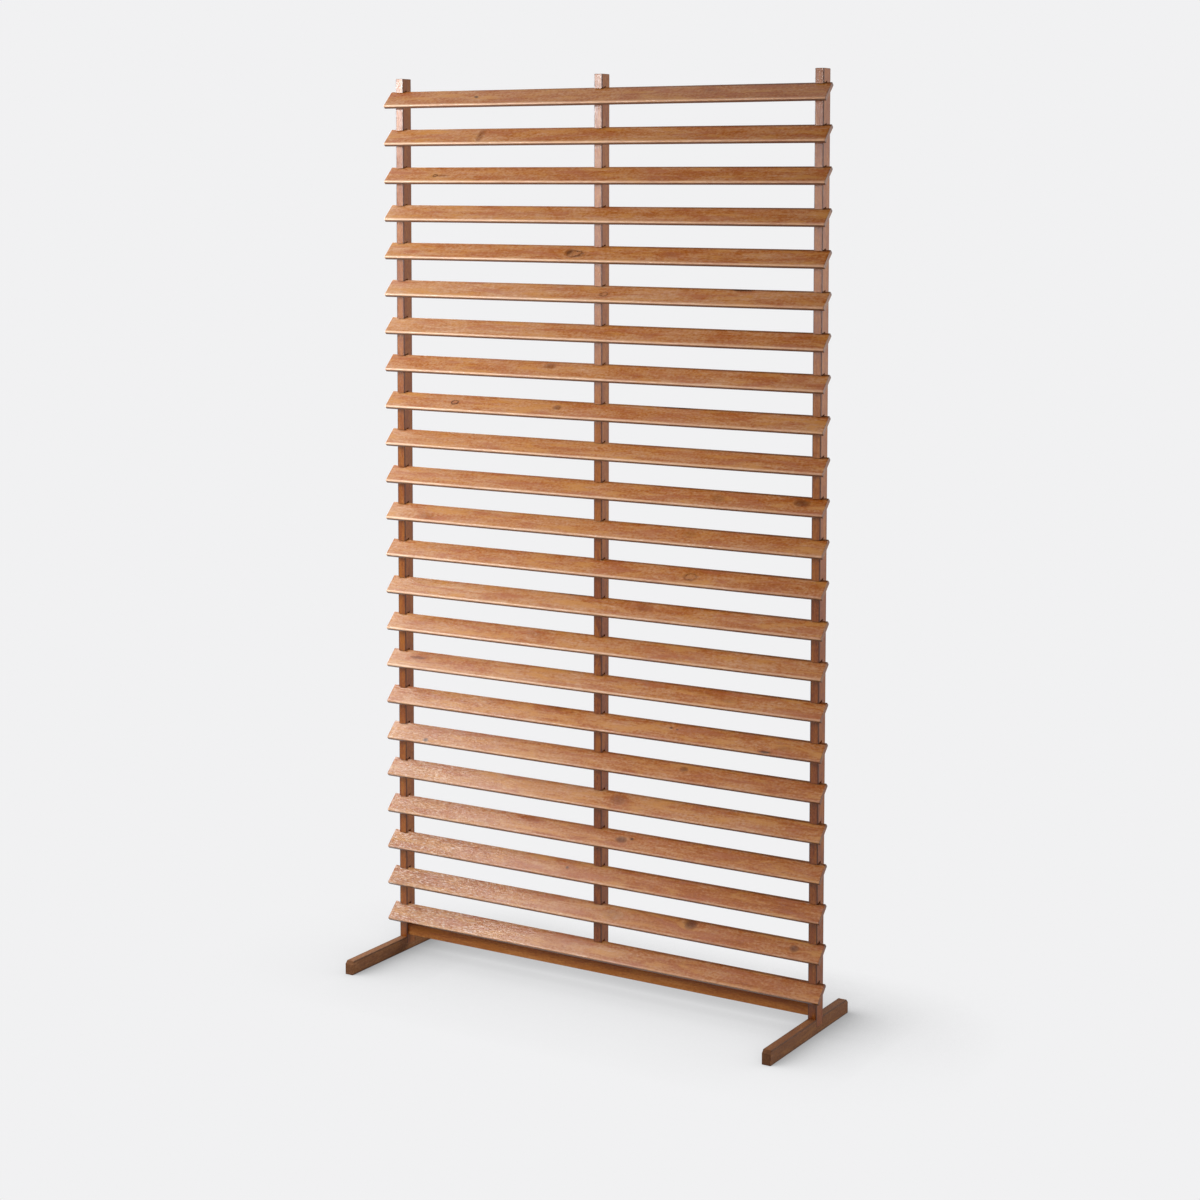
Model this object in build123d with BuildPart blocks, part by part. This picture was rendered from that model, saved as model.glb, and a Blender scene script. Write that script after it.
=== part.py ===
from build123d import *
import os
from math import cos, radians, sin, tan

# A free-standing louvred garden screen in hardwood.
# Slats lie in sloped notches across three uprights, a bottom rail ties the outer uprights,
# and two feet run front to back under them.
# Sizes are in millimetres: X along the width, Y away from the viewer, Z up.
# The origin is on the ground, in the middle of the screen's width and of the feet's length.

# Screen
overall_height = 1795
post_spacing = 470
slat_count = 23
slat_length = 986
top_slat_drop = 25

# Slat section, tilted back from the vertical with its lower arris forward
slat_width = 42
slat_thickness = 9
slat_tilt = 45
slat_arris_radius = 2.5
slat_end_radius = 0.8
slat_seat_depth = 6

# Uprights
post_width = 18
post_depth = 28
post_arris_radius = 1.2
post_top_chamfer = 0.8

# Notch that takes a slat
notch_depth = 13.5
ledge_rise = 20
ledge_clearance = 0.3

# Bottom rail
rail_height = 28
rail_thickness = 18
rail_setback = 5
rail_lift = 4
rail_arris_radius = 1.2
slat_rail_gap = 3
tenon_length = 5
tenon_height = 14
tenon_thickness = 9
tenon_end_clearance = 0.5

# Feet, as wide as the uprights
foot_length = 325
foot_front_reach = 187
foot_height = 27
foot_corner_chamfer = 6
foot_arris_radius = 1.2
housing_depth = 13.5

# Screws that hold the slats from behind
slat_screw_length = 30
slat_screw_radius = 1.75
slat_screw_head_radius = 3.5
slat_screw_tip_length = 4
slat_screw_recess_width = 0.9
slat_screw_recess_length = 3.4
slat_screw_recess_depth = 1.2

# Screw that holds the centre upright on the rail
post_screw_length = 45
post_screw_radius = 2.25
post_screw_head_radius = 4.5
post_screw_tip_length = 5
post_screw_sink = 5
post_screw_recess_width = 1.1
post_screw_recess_length = 4.4
post_screw_recess_depth = 1.6

# Bolt, washer and barrel nut that hold each foot
bolt_length = 35
bolt_radius = 3
bolt_tip_chamfer = 0.6
bolt_head_radius = 5
bolt_head_height = 4.5
bolt_head_sink = 1.3
bolt_socket_width = 4
bolt_socket_depth = 2.5
washer_radius = 6
washer_thickness = 1.2
nut_radius = 5
nut_length = 14
nut_rise = 6
nut_slot_width = 1
nut_slot_depth = 1

# Clearances, cutting overrun and countersink
joint_clearance = 0.1
hole_clearance = 0.1
thread_clearance = 0.05
bore_end_clearance = 1
overrun = 5
countersink_angle = 90

# Places worked out from the sizes above
post_front = foot_front_reach - foot_length / 2
post_rear = post_front + post_depth
post_middle = post_front + post_depth / 2
rail_bottom = foot_height + rail_lift
rail_top = rail_bottom + rail_height
rail_middle_height = rail_bottom + rail_height / 2
rail_middle = post_front + rail_setback + rail_thickness / 2
rail_length = 2 * post_spacing - post_width
housing_floor = foot_height - housing_depth
washer_seat = bolt_head_sink + bolt_head_height + washer_thickness
bolt_tip_height = bolt_head_sink + bolt_head_height + bolt_length
nut_height = foot_height + nut_rise

# Slat directions in the YZ plane: up the face, and through the thickness from front to back
face_rise = Vector(sin(radians(slat_tilt)), cos(radians(slat_tilt)))
face_depth = Vector(cos(radians(slat_tilt)), -sin(radians(slat_tilt)))
slat_section_height = slat_width * face_rise.Y - slat_thickness * face_depth.Y
slat_centre = slat_thickness / 2 * face_depth - slat_width / 2 * face_rise
slat_arris_place = post_front + slat_seat_depth

# Heights of the slats' upper arrises, from the top slat down to the one above the rail
top_arris_height = overall_height - top_slat_drop
low_arris_height = rail_top + slat_rail_gap + slat_section_height
slat_pitch = (top_arris_height - low_arris_height) / (slat_count - 1)
arris_heights = [top_arris_height - place * slat_pitch for place in range(slat_count)]

# Notch corners as heights above a slat's upper arris: the seat lies along the slat's back,
# and the ledge clears its rounded upper arris
seat_slope = face_rise.Y / face_rise.X
seat_top = slat_thickness * face_depth
seat_front_rise = seat_top.Y - (slat_seat_depth + seat_top.X) * seat_slope
seat_rear_rise = seat_front_rise + notch_depth * seat_slope
ledge_slope = tan(radians(ledge_rise))
arris_centre = slat_arris_radius * (face_depth - face_rise)
ledge_offset = (slat_arris_radius + ledge_clearance) / cos(radians(ledge_rise))
ledge_front_rise = arris_centre.Y + ledge_offset - (slat_seat_depth + arris_centre.X) * ledge_slope
ledge_rear_rise = ledge_front_rise + notch_depth * ledge_slope
screw_rise = (seat_front_rise + seat_rear_rise) / 2


def screw_plane(place, arris_height):
    """Plane on an upright's rear face at a slat's screw, facing backwards."""
    return Plane(origin=(place, post_rear, arris_height + screw_rise), x_dir=(-1, 0, 0), z_dir=(0, 1, 0))


def notch_points(arris_height):
    """Corners of one notch in the YZ plane, from the lip round to the foot of the seat."""
    mouth = post_front - overrun
    back = post_front + notch_depth
    lip_height = arris_height + ledge_front_rise
    seat_foot_height = arris_height + seat_front_rise
    return [
        (mouth, lip_height),
        (post_front, lip_height),
        (back, arris_height + ledge_rear_rise),
        (back, arris_height + seat_rear_rise),
        (post_front, seat_foot_height),
        (mouth, seat_foot_height),
    ]


def make_slat(arris_height):
    """One slat: an eased bar along X with a pilot hole at each upright."""
    with BuildPart() as slat:
        with BuildSketch(Plane.YZ):
            with Locations((slat_arris_place + slat_centre.X, arris_height + slat_centre.Y)):
                RectangleRounded(slat_width, slat_thickness, slat_arris_radius, rotation=90 - slat_tilt)
        extrude(amount=slat_length / 2, both=True)
        fillet(slat.faces().filter_by(Axis.X).edges(), radius=slat_end_radius)
        with Locations(*[screw_plane(place, arris_height) for place in (-post_spacing, 0, post_spacing)]):
            Hole(radius=slat_screw_radius + thread_clearance, depth=slat_screw_length)
    return slat.part


def make_post(place, bottom):
    """One upright: an eased bar with a notch and a countersunk hole for every slat."""
    with BuildPart() as post:
        with BuildSketch(Plane.XY.offset(bottom)):
            with Locations((place, post_middle)):
                RectangleRounded(post_width, post_depth, post_arris_radius)
        extrude(amount=overall_height - bottom)
        chamfer(post.faces().sort_by(Axis.Z)[-1].edges(), length=post_top_chamfer)
        with BuildSketch(Plane.YZ.offset(place)):
            for arris_height in arris_heights:
                with BuildLine():
                    Polyline(*notch_points(arris_height), close=True)
                make_face()
        extrude(amount=post_width / 2 + overrun, both=True, mode=Mode.SUBTRACT)
        with Locations(*[screw_plane(place, arris_height) for arris_height in arris_heights]):
            CounterSinkHole(
                radius=slat_screw_radius + hole_clearance,
                counter_sink_radius=slat_screw_head_radius,
                counter_sink_angle=countersink_angle,
                depth=post_depth,
            )
    return post.part


def make_outer_post(place, inward):
    """An outer upright: it also takes the rail's tenon and the foot's bolt and barrel nut."""
    mortise_plane = Plane(
        origin=(place + inward * post_width / 2, rail_middle, rail_middle_height),
        x_dir=(0, 1, 0),
        z_dir=(inward, 0, 0),
    )
    with BuildPart() as post:
        add(make_post(place, housing_floor))
        with BuildSketch(mortise_plane):
            Rectangle(tenon_thickness + 2 * joint_clearance, tenon_height + 2 * joint_clearance)
        extrude(amount=-tenon_length - tenon_end_clearance, mode=Mode.SUBTRACT)
        with Locations(Plane(origin=(place, post_middle, housing_floor), z_dir=(0, 0, -1))):
            Hole(radius=bolt_radius + hole_clearance, depth=bolt_tip_height + bore_end_clearance - housing_floor)
        with Locations(Plane(origin=(place, post_rear, nut_height), z_dir=(0, 1, 0))):
            Hole(radius=nut_radius + hole_clearance, depth=post_depth / 2 + nut_length / 2)
    return post.part


def make_screw(length, radius, head_radius, tip_length, recess):
    """A countersunk screw pointing down from the XY plane; recess is its cross's length, width and depth."""
    recess_length, recess_width, recess_depth = recess
    head_height = (head_radius - radius) / tan(radians(countersink_angle / 2))
    with BuildPart() as screw:
        with BuildSketch(Plane.XZ):
            with BuildLine():
                Polyline(
                    (0, 0),
                    (head_radius, 0),
                    (radius, -head_height),
                    (radius, tip_length - length),
                    (0, -length),
                    close=True,
                )
            make_face()
        revolve(axis=Axis.Z)
        with BuildSketch(Plane.XY):
            Rectangle(recess_length, recess_width)
            Rectangle(recess_width, recess_length)
        extrude(amount=-recess_depth, mode=Mode.SUBTRACT)
    return screw.part


def make_foot(place):
    """One foot: a bar with its upper end corners cut back and a housing for the upright's end."""
    half_length = foot_length / 2
    shoulder = foot_height - foot_corner_chamfer
    with BuildPart() as foot:
        with BuildSketch(Plane.YZ.offset(place)):
            with BuildLine():
                Polyline(
                    (-half_length, 0),
                    (-half_length, shoulder),
                    (foot_corner_chamfer - half_length, foot_height),
                    (half_length - foot_corner_chamfer, foot_height),
                    (half_length, shoulder),
                    (half_length, 0),
                    close=True,
                )
            make_face()
        extrude(amount=post_width / 2, both=True)
        upper_edges = foot.edges().filter_by_position(Axis.Z, 0, foot_height, inclusive=(False, True))
        fillet(upper_edges, radius=foot_arris_radius)
        with BuildSketch(Plane.XY.offset(housing_floor)):
            with Locations((place, post_middle)):
                Rectangle(post_width + 2 * overrun, post_depth + 2 * joint_clearance)
        extrude(amount=housing_depth + overrun, mode=Mode.SUBTRACT)
        with Locations(Plane(origin=(place, post_middle, 0), z_dir=(0, 0, -1))):
            CounterBoreHole(
                radius=bolt_radius + hole_clearance,
                counter_bore_radius=washer_radius + hole_clearance,
                counter_bore_depth=washer_seat,
                depth=foot_height,
            )
    return foot.part


def make_washer(place):
    """Flat washer between a foot and the head of its bolt."""
    with BuildPart() as washer:
        with BuildSketch(Plane((place, post_middle, washer_seat - washer_thickness))):
            Circle(washer_radius)
            Circle(bolt_radius + hole_clearance, mode=Mode.SUBTRACT)
        extrude(amount=washer_thickness)
    return washer.part


def make_bolt(place):
    """Socket-headed bolt that rises through a foot into the upright."""
    with BuildPart() as bolt:
        with BuildSketch(Plane((place, post_middle, bolt_head_sink))):
            Circle(bolt_radius)
        extrude(amount=bolt_head_height + bolt_length)
        chamfer(bolt.edges().sort_by(Axis.Z)[-1], length=bolt_tip_chamfer)
        with BuildSketch(Plane((place, post_middle, bolt_head_sink))):
            Circle(bolt_head_radius)
        extrude(amount=bolt_head_height)
        with BuildSketch(Plane((place, post_middle, bolt_head_sink))):
            RegularPolygon(radius=bolt_socket_width / 2, side_count=6, major_radius=False)
        extrude(amount=bolt_socket_depth, mode=Mode.SUBTRACT)
    return bolt.part


def make_barrel_nut(place):
    """Barrel nut lying front to back in an upright, slotted on the end that shows."""
    with BuildPart() as nut:
        with BuildSketch(Plane(origin=(place, post_middle, nut_height), z_dir=(0, 1, 0))):
            Circle(nut_radius)
        extrude(amount=nut_length / 2, both=True)
        with BuildSketch(Plane((place, post_middle, nut_height))):
            Circle(bolt_radius + thread_clearance)
        extrude(amount=nut_radius + overrun, both=True, mode=Mode.SUBTRACT)
        with BuildSketch(Plane(origin=(place, post_middle + nut_length / 2, nut_height), z_dir=(0, 1, 0))):
            Rectangle(2 * nut_radius + 2 * overrun, nut_slot_width)
        extrude(amount=-nut_slot_depth, mode=Mode.SUBTRACT)
    return nut.part


def save(piece, name):
    """Label one piece and write its file."""
    piece.label = name
    export_step(piece, f"parts/{name}.step")


os.makedirs("parts", exist_ok=True)

# Slats, numbered from the top
for number, arris_height in enumerate(arris_heights, start=1):
    save(make_slat(arris_height), f"slat_{number:02d}")

# Outer uprights, feet and the fittings between them
for side, place in (("left", -post_spacing), ("right", post_spacing)):
    inward = 1 if side == "left" else -1
    save(make_outer_post(place, inward), f"{side}_post")
    save(make_foot(place), f"{side}_foot")
    save(make_washer(place), f"{side}_foot_washer")
    save(make_bolt(place), f"{side}_foot_bolt")
    save(make_barrel_nut(place), f"{side}_barrel_nut")

# Centre upright, standing on the rail
with BuildPart() as centre_post:
    add(make_post(0, rail_top))
    with Locations(Plane(origin=(0, rail_middle, rail_top), z_dir=(0, 0, -1))):
        Hole(
            radius=post_screw_radius + thread_clearance,
            depth=post_screw_length + post_screw_sink - rail_height,
        )
save(centre_post.part, "centre_post")

# Bottom rail, with a stub tenon at each end and a sunk hole for the centre upright's screw
with BuildPart() as bottom_rail:
    with BuildSketch(Plane.YZ):
        with Locations((rail_middle, rail_middle_height)):
            RectangleRounded(rail_thickness, rail_height, rail_arris_radius)
    extrude(amount=rail_length / 2, both=True)
    with BuildSketch(Plane.YZ):
        with Locations((rail_middle, rail_middle_height)):
            Rectangle(tenon_thickness, tenon_height)
    extrude(amount=rail_length / 2 + tenon_length, both=True)
    with Locations(Plane(origin=(0, rail_middle, rail_bottom), z_dir=(0, 0, -1))):
        Hole(radius=post_screw_head_radius + hole_clearance, depth=post_screw_sink)
    with Locations(Plane(origin=(0, rail_middle, rail_bottom + post_screw_sink), z_dir=(0, 0, -1))):
        CounterSinkHole(
            radius=post_screw_radius + hole_clearance,
            counter_sink_radius=post_screw_head_radius,
            counter_sink_angle=countersink_angle,
            depth=rail_height,
        )
save(bottom_rail.part, "bottom_rail")

# Screw that rises through the rail into the centre upright
centre_screw = make_screw(
    post_screw_length,
    post_screw_radius,
    post_screw_head_radius,
    post_screw_tip_length,
    (post_screw_recess_length, post_screw_recess_width, post_screw_recess_depth),
)
with BuildPart() as centre_post_screw:
    with Locations(Plane(origin=(0, rail_middle, rail_bottom + post_screw_sink), z_dir=(0, 0, -1))):
        add(centre_screw)
save(centre_post_screw.part, "centre_post_screw")

# Slat screws, one row behind each upright
slat_screw = make_screw(
    slat_screw_length,
    slat_screw_radius,
    slat_screw_head_radius,
    slat_screw_tip_length,
    (slat_screw_recess_length, slat_screw_recess_width, slat_screw_recess_depth),
)
for side, place in (("left", -post_spacing), ("centre", 0), ("right", post_spacing)):
    with BuildPart() as slat_screws:
        with Locations(*[screw_plane(place, arris_height) for arris_height in arris_heights]):
            add(slat_screw)
    save(slat_screws.part, f"{side}_slat_screws")
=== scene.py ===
"""Looks of a free-standing louvred garden screen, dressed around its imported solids.

Lengths are in metres: X along the slats, Y away from the viewer, Z up, with the ground at zero.
"""

from __future__ import annotations

import logging
import math
from dataclasses import dataclass, field
from enum import Enum

import bpy
import numpy as np
from mathutils import Matrix, Vector

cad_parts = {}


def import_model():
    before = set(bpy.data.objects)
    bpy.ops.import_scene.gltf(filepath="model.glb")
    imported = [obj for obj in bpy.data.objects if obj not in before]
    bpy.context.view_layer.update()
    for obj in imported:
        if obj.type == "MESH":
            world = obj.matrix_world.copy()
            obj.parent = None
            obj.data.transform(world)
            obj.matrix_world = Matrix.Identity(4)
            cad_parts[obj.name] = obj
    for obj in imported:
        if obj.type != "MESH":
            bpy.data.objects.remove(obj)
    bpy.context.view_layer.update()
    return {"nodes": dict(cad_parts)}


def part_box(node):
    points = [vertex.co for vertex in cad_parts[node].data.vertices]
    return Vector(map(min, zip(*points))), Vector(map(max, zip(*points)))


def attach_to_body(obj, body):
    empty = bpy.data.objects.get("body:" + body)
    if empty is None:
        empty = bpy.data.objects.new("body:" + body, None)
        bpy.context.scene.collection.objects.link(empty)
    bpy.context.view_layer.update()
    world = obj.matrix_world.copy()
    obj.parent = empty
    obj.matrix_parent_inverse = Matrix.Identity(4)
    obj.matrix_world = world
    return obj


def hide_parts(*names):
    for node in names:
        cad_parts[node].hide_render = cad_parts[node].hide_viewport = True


WHOLE_SCREEN = "root"
HALF = 0.5

log = logging.getLogger("louvred_screen")

Band = tuple[float, float]
Triple = tuple[float, float, float]
Colour = tuple[float, float, float]


@dataclass(frozen=True)
class Pattern:
    """A noise pattern: its size along each axis in metres, how many finer layers it has and how strong each is.

    Patterns with different shifts are independent of each other, and distortion is how much a pattern is warped.
    """

    size: Triple
    detail: float
    roughness: float
    shift: float = 0.0
    distortion: float = 0.0


class Signal:
    """A value that varies over a surface: one socket of a finish, with Python's arithmetic."""

    def __init__(self, bench: Bench, socket: bpy.types.NodeSocket) -> None:
        """Wraps an output socket.

        Args:
            bench: The bench that makes the finish's nodes.
            socket: The output socket that carries the value.
        """
        self.bench = bench
        self.socket = socket

    def __add__(self, other: Signal | float) -> Signal:
        """Sum."""
        return self.bench.maths("ADD", self, other)

    def __radd__(self, other: float) -> Signal:
        """Sum with a number in front."""
        return self.bench.maths("ADD", other, self)

    def __sub__(self, other: Signal | float) -> Signal:
        """Difference."""
        return self.bench.maths("SUBTRACT", self, other)

    def __rsub__(self, other: float) -> Signal:
        """Difference from a number."""
        return self.bench.maths("SUBTRACT", other, self)

    def __mul__(self, other: Signal | float) -> Signal:
        """Product."""
        return self.bench.maths("MULTIPLY", self, other)

    def __rmul__(self, other: float) -> Signal:
        """Product with a number in front."""
        return self.bench.maths("MULTIPLY", other, self)

    def __truediv__(self, other: Signal | float) -> Signal:
        """Quotient."""
        return self.bench.maths("DIVIDE", self, other)

    def __neg__(self) -> Signal:
        """Opposite."""
        return self.bench.maths("MULTIPLY", self, -1.0)

    def __abs__(self) -> Signal:
        """Size without sign."""
        return self.bench.maths("ABSOLUTE", self)

    def larger(self, other: Signal | float) -> Signal:
        """The larger of two values."""
        return self.bench.maths("MAXIMUM", self, other)

    def root(self) -> Signal:
        """Square root."""
        return self.bench.maths("SQRT", self)

    def decay(self) -> Signal:
        """e to the power of minus this value."""
        return self.bench.maths("EXPONENT", -self)

    def wave(self) -> Signal:
        """Cosine of this value in turns, from 0 to 1."""
        return HALF + HALF * self.bench.maths("COSINE", self * math.tau)

    def step(self, low: float, high: float) -> Signal:
        """Eased step from 0 to 1.

        Args:
            low: The value at which the step is 0.
            high: The value at which it is 1. The step falls where this is the smaller of the two.

        Returns:
            The step, held at 0 and 1 beyond its ends.
        """
        rising = low < high
        edges = {"Value": self, "From Min": min(low, high), "From Max": max(low, high),
                 "To Min": 0.0 if rising else 1.0, "To Max": 1.0 if rising else 0.0}
        return self.bench.make("ShaderNodeMapRange", {"interpolation_type": "SMOOTHSTEP"}, edges)

    def output(self, name: str) -> Signal:
        """Another output of the node that this value comes from."""
        return Signal(self.bench, self.socket.node.outputs[name])


class Bench:
    """Makes the nodes of one material or world."""

    seed_steps = (7.31, 3.17, 5.77)
    # the Mix node's colour sockets, which share their names with others and so go by number
    colour_below = 6
    colour_above = 7
    blended_colour = 2

    def __init__(self, owner: bpy.types.Material | bpy.types.World) -> None:
        """Clears the nodes of a new material or world.

        Args:
            owner: The material or world.
        """
        self.owner = owner
        owner.use_nodes = True
        self.tree = owner.node_tree
        self.tree.nodes.clear()

    def make(self, kind: str, settings: dict | None = None, inputs: dict | None = None,
             output: str | int = 0) -> Signal:
        """Adds one node.

        Args:
            kind: The node's type.
            settings: Its settings, set before its inputs. stops holds a ramp's places and colours.
            inputs: Values or signals by input name or number.
            output: The output to return, by name or number.

        Returns:
            The chosen output.
        """
        node = self.tree.nodes.new(kind)
        for key, value in (settings or {}).items():
            if key == "stops":
                self.set_stops(node.color_ramp, value)
            else:
                setattr(node, key, value)
        for key, value in (inputs or {}).items():
            if isinstance(value, Signal):
                self.tree.links.new(value.socket, node.inputs[key])
            else:
                node.inputs[key].default_value = value
        return Signal(self, node.outputs[output]) if node.outputs else None

    @staticmethod
    def set_stops(ramp: bpy.types.ColorRamp, stops: tuple[tuple[float, Colour], ...]) -> None:
        """Gives a ramp its stops.

        Args:
            ramp: The ramp to set.
            stops: Each stop's place, in rising order, and its colour.
        """
        while len(ramp.elements) < len(stops):
            ramp.elements.new(1.0)
        for element, (place, colour) in zip(ramp.elements, stops):
            element.position = place
            element.color = (*colour, 1.0)

    def maths(self, operation: str, first: Signal | float, second: Signal | float | None = None) -> Signal:
        """Adds one Math node and returns its result."""
        inputs = {0: first} if second is None else {0: first, 1: second}
        return self.make("ShaderNodeMath", {"operation": operation}, inputs)

    def blend(self, share: Signal | float, below: Signal | Colour, above: Signal | Colour) -> Signal:
        """Lays one colour over another.

        Args:
            share: How far the upper colour covers the lower one, from 0 to 1.
            below: The lower colour.
            above: The upper colour.

        Returns:
            The blended colour.
        """
        inputs = {0: share}
        for socket, colour in ((self.colour_below, below), (self.colour_above, above)):
            inputs[socket] = colour if isinstance(colour, Signal) else (*colour, 1.0)
        settings = {"data_type": "RGBA", "clamp_factor": True}
        return self.make("ShaderNodeMix", settings, inputs, self.blended_colour)

    def noise(self, place: Signal, pattern: Pattern, seed: float) -> Signal:
        """Smooth random values with a mean of about a half.

        Args:
            place: Where the surface is, in metres.
            pattern: The pattern that the values follow.
            seed: Picks another stretch of the pattern.

        Returns:
            The noise's value.
        """
        scale = tuple(1.0 / length for length in pattern.size)
        offset = tuple((seed + pattern.shift) * step for step in self.seed_steps)
        mapped = self.make("ShaderNodeMapping", None, {"Vector": place, "Location": offset, "Scale": scale})
        inputs = {"Vector": mapped, "Scale": 1.0, "Detail": pattern.detail, "Roughness": pattern.roughness,
                  "Distortion": pattern.distortion}
        return self.make("ShaderNodeTexNoise", {"noise_dimensions": "3D"}, inputs)

    def finish(self, **inputs: Signal | float | tuple) -> bpy.types.Material:
        """Joins the surface shader to the output.

        Args:
            inputs: The shader's inputs, with underscores for the spaces in their names.

        Returns:
            The finished material.
        """
        named = {key.replace("_", " "): value for key, value in inputs.items()}
        shader = self.make("ShaderNodeBsdfPrincipled", None, named)
        self.make("ShaderNodeOutputMaterial", None, {"Surface": shader})
        return self.owner


class Mark(Enum):
    """Kinds of mark in the wood, by how strongly the outline, the filling, the dark eye and the pale heart show."""

    RING = (1.00, 0.50, 0.00, 0.25)
    BLOT = (0.40, 1.00, 0.45, 0.00)
    EYE = (0.45, 0.60, 1.00, 0.00)
    SMUDGE = (0.10, 1.00, 0.00, 0.00)
    STREAK = (0.00, 0.70, 0.90, 0.00)


class Tone(Enum):
    """How pale a slat's timber is, from 0, deep russet, to 1, pale straw."""

    STRAW = 0.64
    WHEAT = 0.55
    HONEY = 0.52
    AMBER = 0.49
    RUSSET = 0.45
    UMBER = 0.41


@dataclass(frozen=True)
class Knot:
    """A knot or dark mark in a slat, measured from the slat's middle. Across runs up the face."""

    slat: int
    along: float
    across: float
    length: float
    breadth: float
    strength: float
    mark: Mark = Mark.RING


class Grain(Enum):
    """The frame axes that a straight piece's grain, face and thickness follow."""

    UPRIGHT = ("Z", "X", "Y")
    ALONG_RAIL = ("X", "Z", "Y")
    ALONG_FOOT = ("Y", "Z", "X")


class Board:
    """Where a wooden piece's surface lies along, across and through its grain."""

    # painted shade: the upper front edge faces away from the lamps, and the underside of the lower edge gets little
    # light
    crown_edge = (0.0146, 0.0170)
    under_edge = (-0.0184, -0.0203)
    under_depth = (-0.0042, -0.0016)
    # painted highlight: the rounded lower front edge catching the front-left lamps, strongest at the left end
    highlight_edge = (-0.0162, -0.0186)
    highlight_depth = (-0.0002, -0.0026)
    # raised grain as bumps, with a painted sheen of pale dashes, at the lower slats' left ends
    raised_sheen_end = (-0.06, -0.48)
    crown_middle = 0.42
    crown_drift = 0.95
    highlight_inset = 0.0012
    highlight_middle = 0.60
    highlight_drift = 0.62
    facing_band = (0.5, 0.8)

    def __init__(self, name: str, seed: float, tone: float, drift: float = 0.0,
                 knots: tuple[Knot, ...] = (), highlight_level: float = 0.0, raised_grain_sheen: float = 0.0) -> None:
        """Describes a board whose mesh carries its own coordinates.

        Args:
            name: The piece's name.
            seed: Picks the board's own stretch of timber.
            tone: From 0, deep russet, to 1, pale straw.
            drift: How much paler the wood gets for each metre along the board, partly by its own tone and partly as
                painted light that pales the left end.
            knots: The knots that show on its face.
            highlight_level: How strongly a painted highlight pales its lower front edge, from 0 to 1.
            raised_grain_sheen: How rough the grain stands up at its left end, and how strongly a painted sheen
                speckles it there, from 0 to 1.
        """
        self.name = name
        self.seed = seed
        self.tone = tone
        self.drift = drift
        self.knots = knots
        self.highlight_level = highlight_level
        self.raised_grain_sheen = raised_grain_sheen

    def place(self, bench: Bench) -> tuple[Signal, Signal, Signal]:
        """Finds the surface's place on the board from the mesh's own coordinates.

        Args:
            bench: The finish's bench.

        Returns:
            The place along, across and through the board, in metres from its middle.
        """
        attribute = {"attribute_type": "GEOMETRY", "attribute_name": "board"}
        board = bench.make("ShaderNodeAttribute", attribute, output="Vector")
        axes = bench.make("ShaderNodeSeparateXYZ", None, {0: board}, "X")
        return axes, axes.output("Y"), axes.output("Z")

    def dark_edges(self, bench: Bench) -> Signal:
        """Finds where painted shade darkens the upper front edge, more towards the right, and the underside of the
        lower one.

        Args:
            bench: The finish's bench.

        Returns:
            The darkness, from 0 to 1.
        """
        along, across, through = self.place(bench)
        crown = across.step(*self.crown_edge) * (self.crown_middle + self.crown_drift * along)
        inset = self.highlight_inset * self.highlight_level
        under = across.step(*self.under_edge) * through.step(*(depth + inset for depth in self.under_depth))
        return crown.larger(under)

    def highlit_edges(self, bench: Bench) -> Signal:
        """Where a painted highlight pales the lower front edge, most of all at the left, from 0 to 1."""
        along, across, through = self.place(bench)
        return across.step(*self.highlight_edge) * through.step(*self.highlight_depth) * self.highlight_along(along)

    def highlight_along(self, along: Signal) -> Signal:
        """How strong the painted highlight on the lower front edge is at a place along the board."""
        return (self.highlight_middle - self.highlight_drift * along) * self.highlight_level

    def shade(self, along: Signal, across: Signal) -> Signal | float:
        """How much paler the wood is at a place, by the board's own tone and drift, which carries some painted
        light from the left.
        """
        return self.tone + along * self.drift

    def roughening(self, bench: Bench) -> Signal | float:
        """How much rougher than its face a side of the board is."""
        return 0.0

    def end_grain(self, bench: Bench) -> Signal:
        """Where the surface cuts across the grain, from 0 to 1."""
        return self.facing(bench, "X")

    @staticmethod
    def facing(bench: Bench, axis: str) -> Signal:
        """Finds how squarely the surface faces along an axis, either way.

        Args:
            bench: The finish's bench.
            axis: The axis, X, Y or Z.

        Returns:
            The squareness, eased to 0 or 1.
        """
        normal = bench.make("ShaderNodeTexCoord", output="Normal")
        part = bench.make("ShaderNodeSeparateXYZ", None, {0: normal}, axis)
        return abs(part).step(*Board.facing_band)


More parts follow.
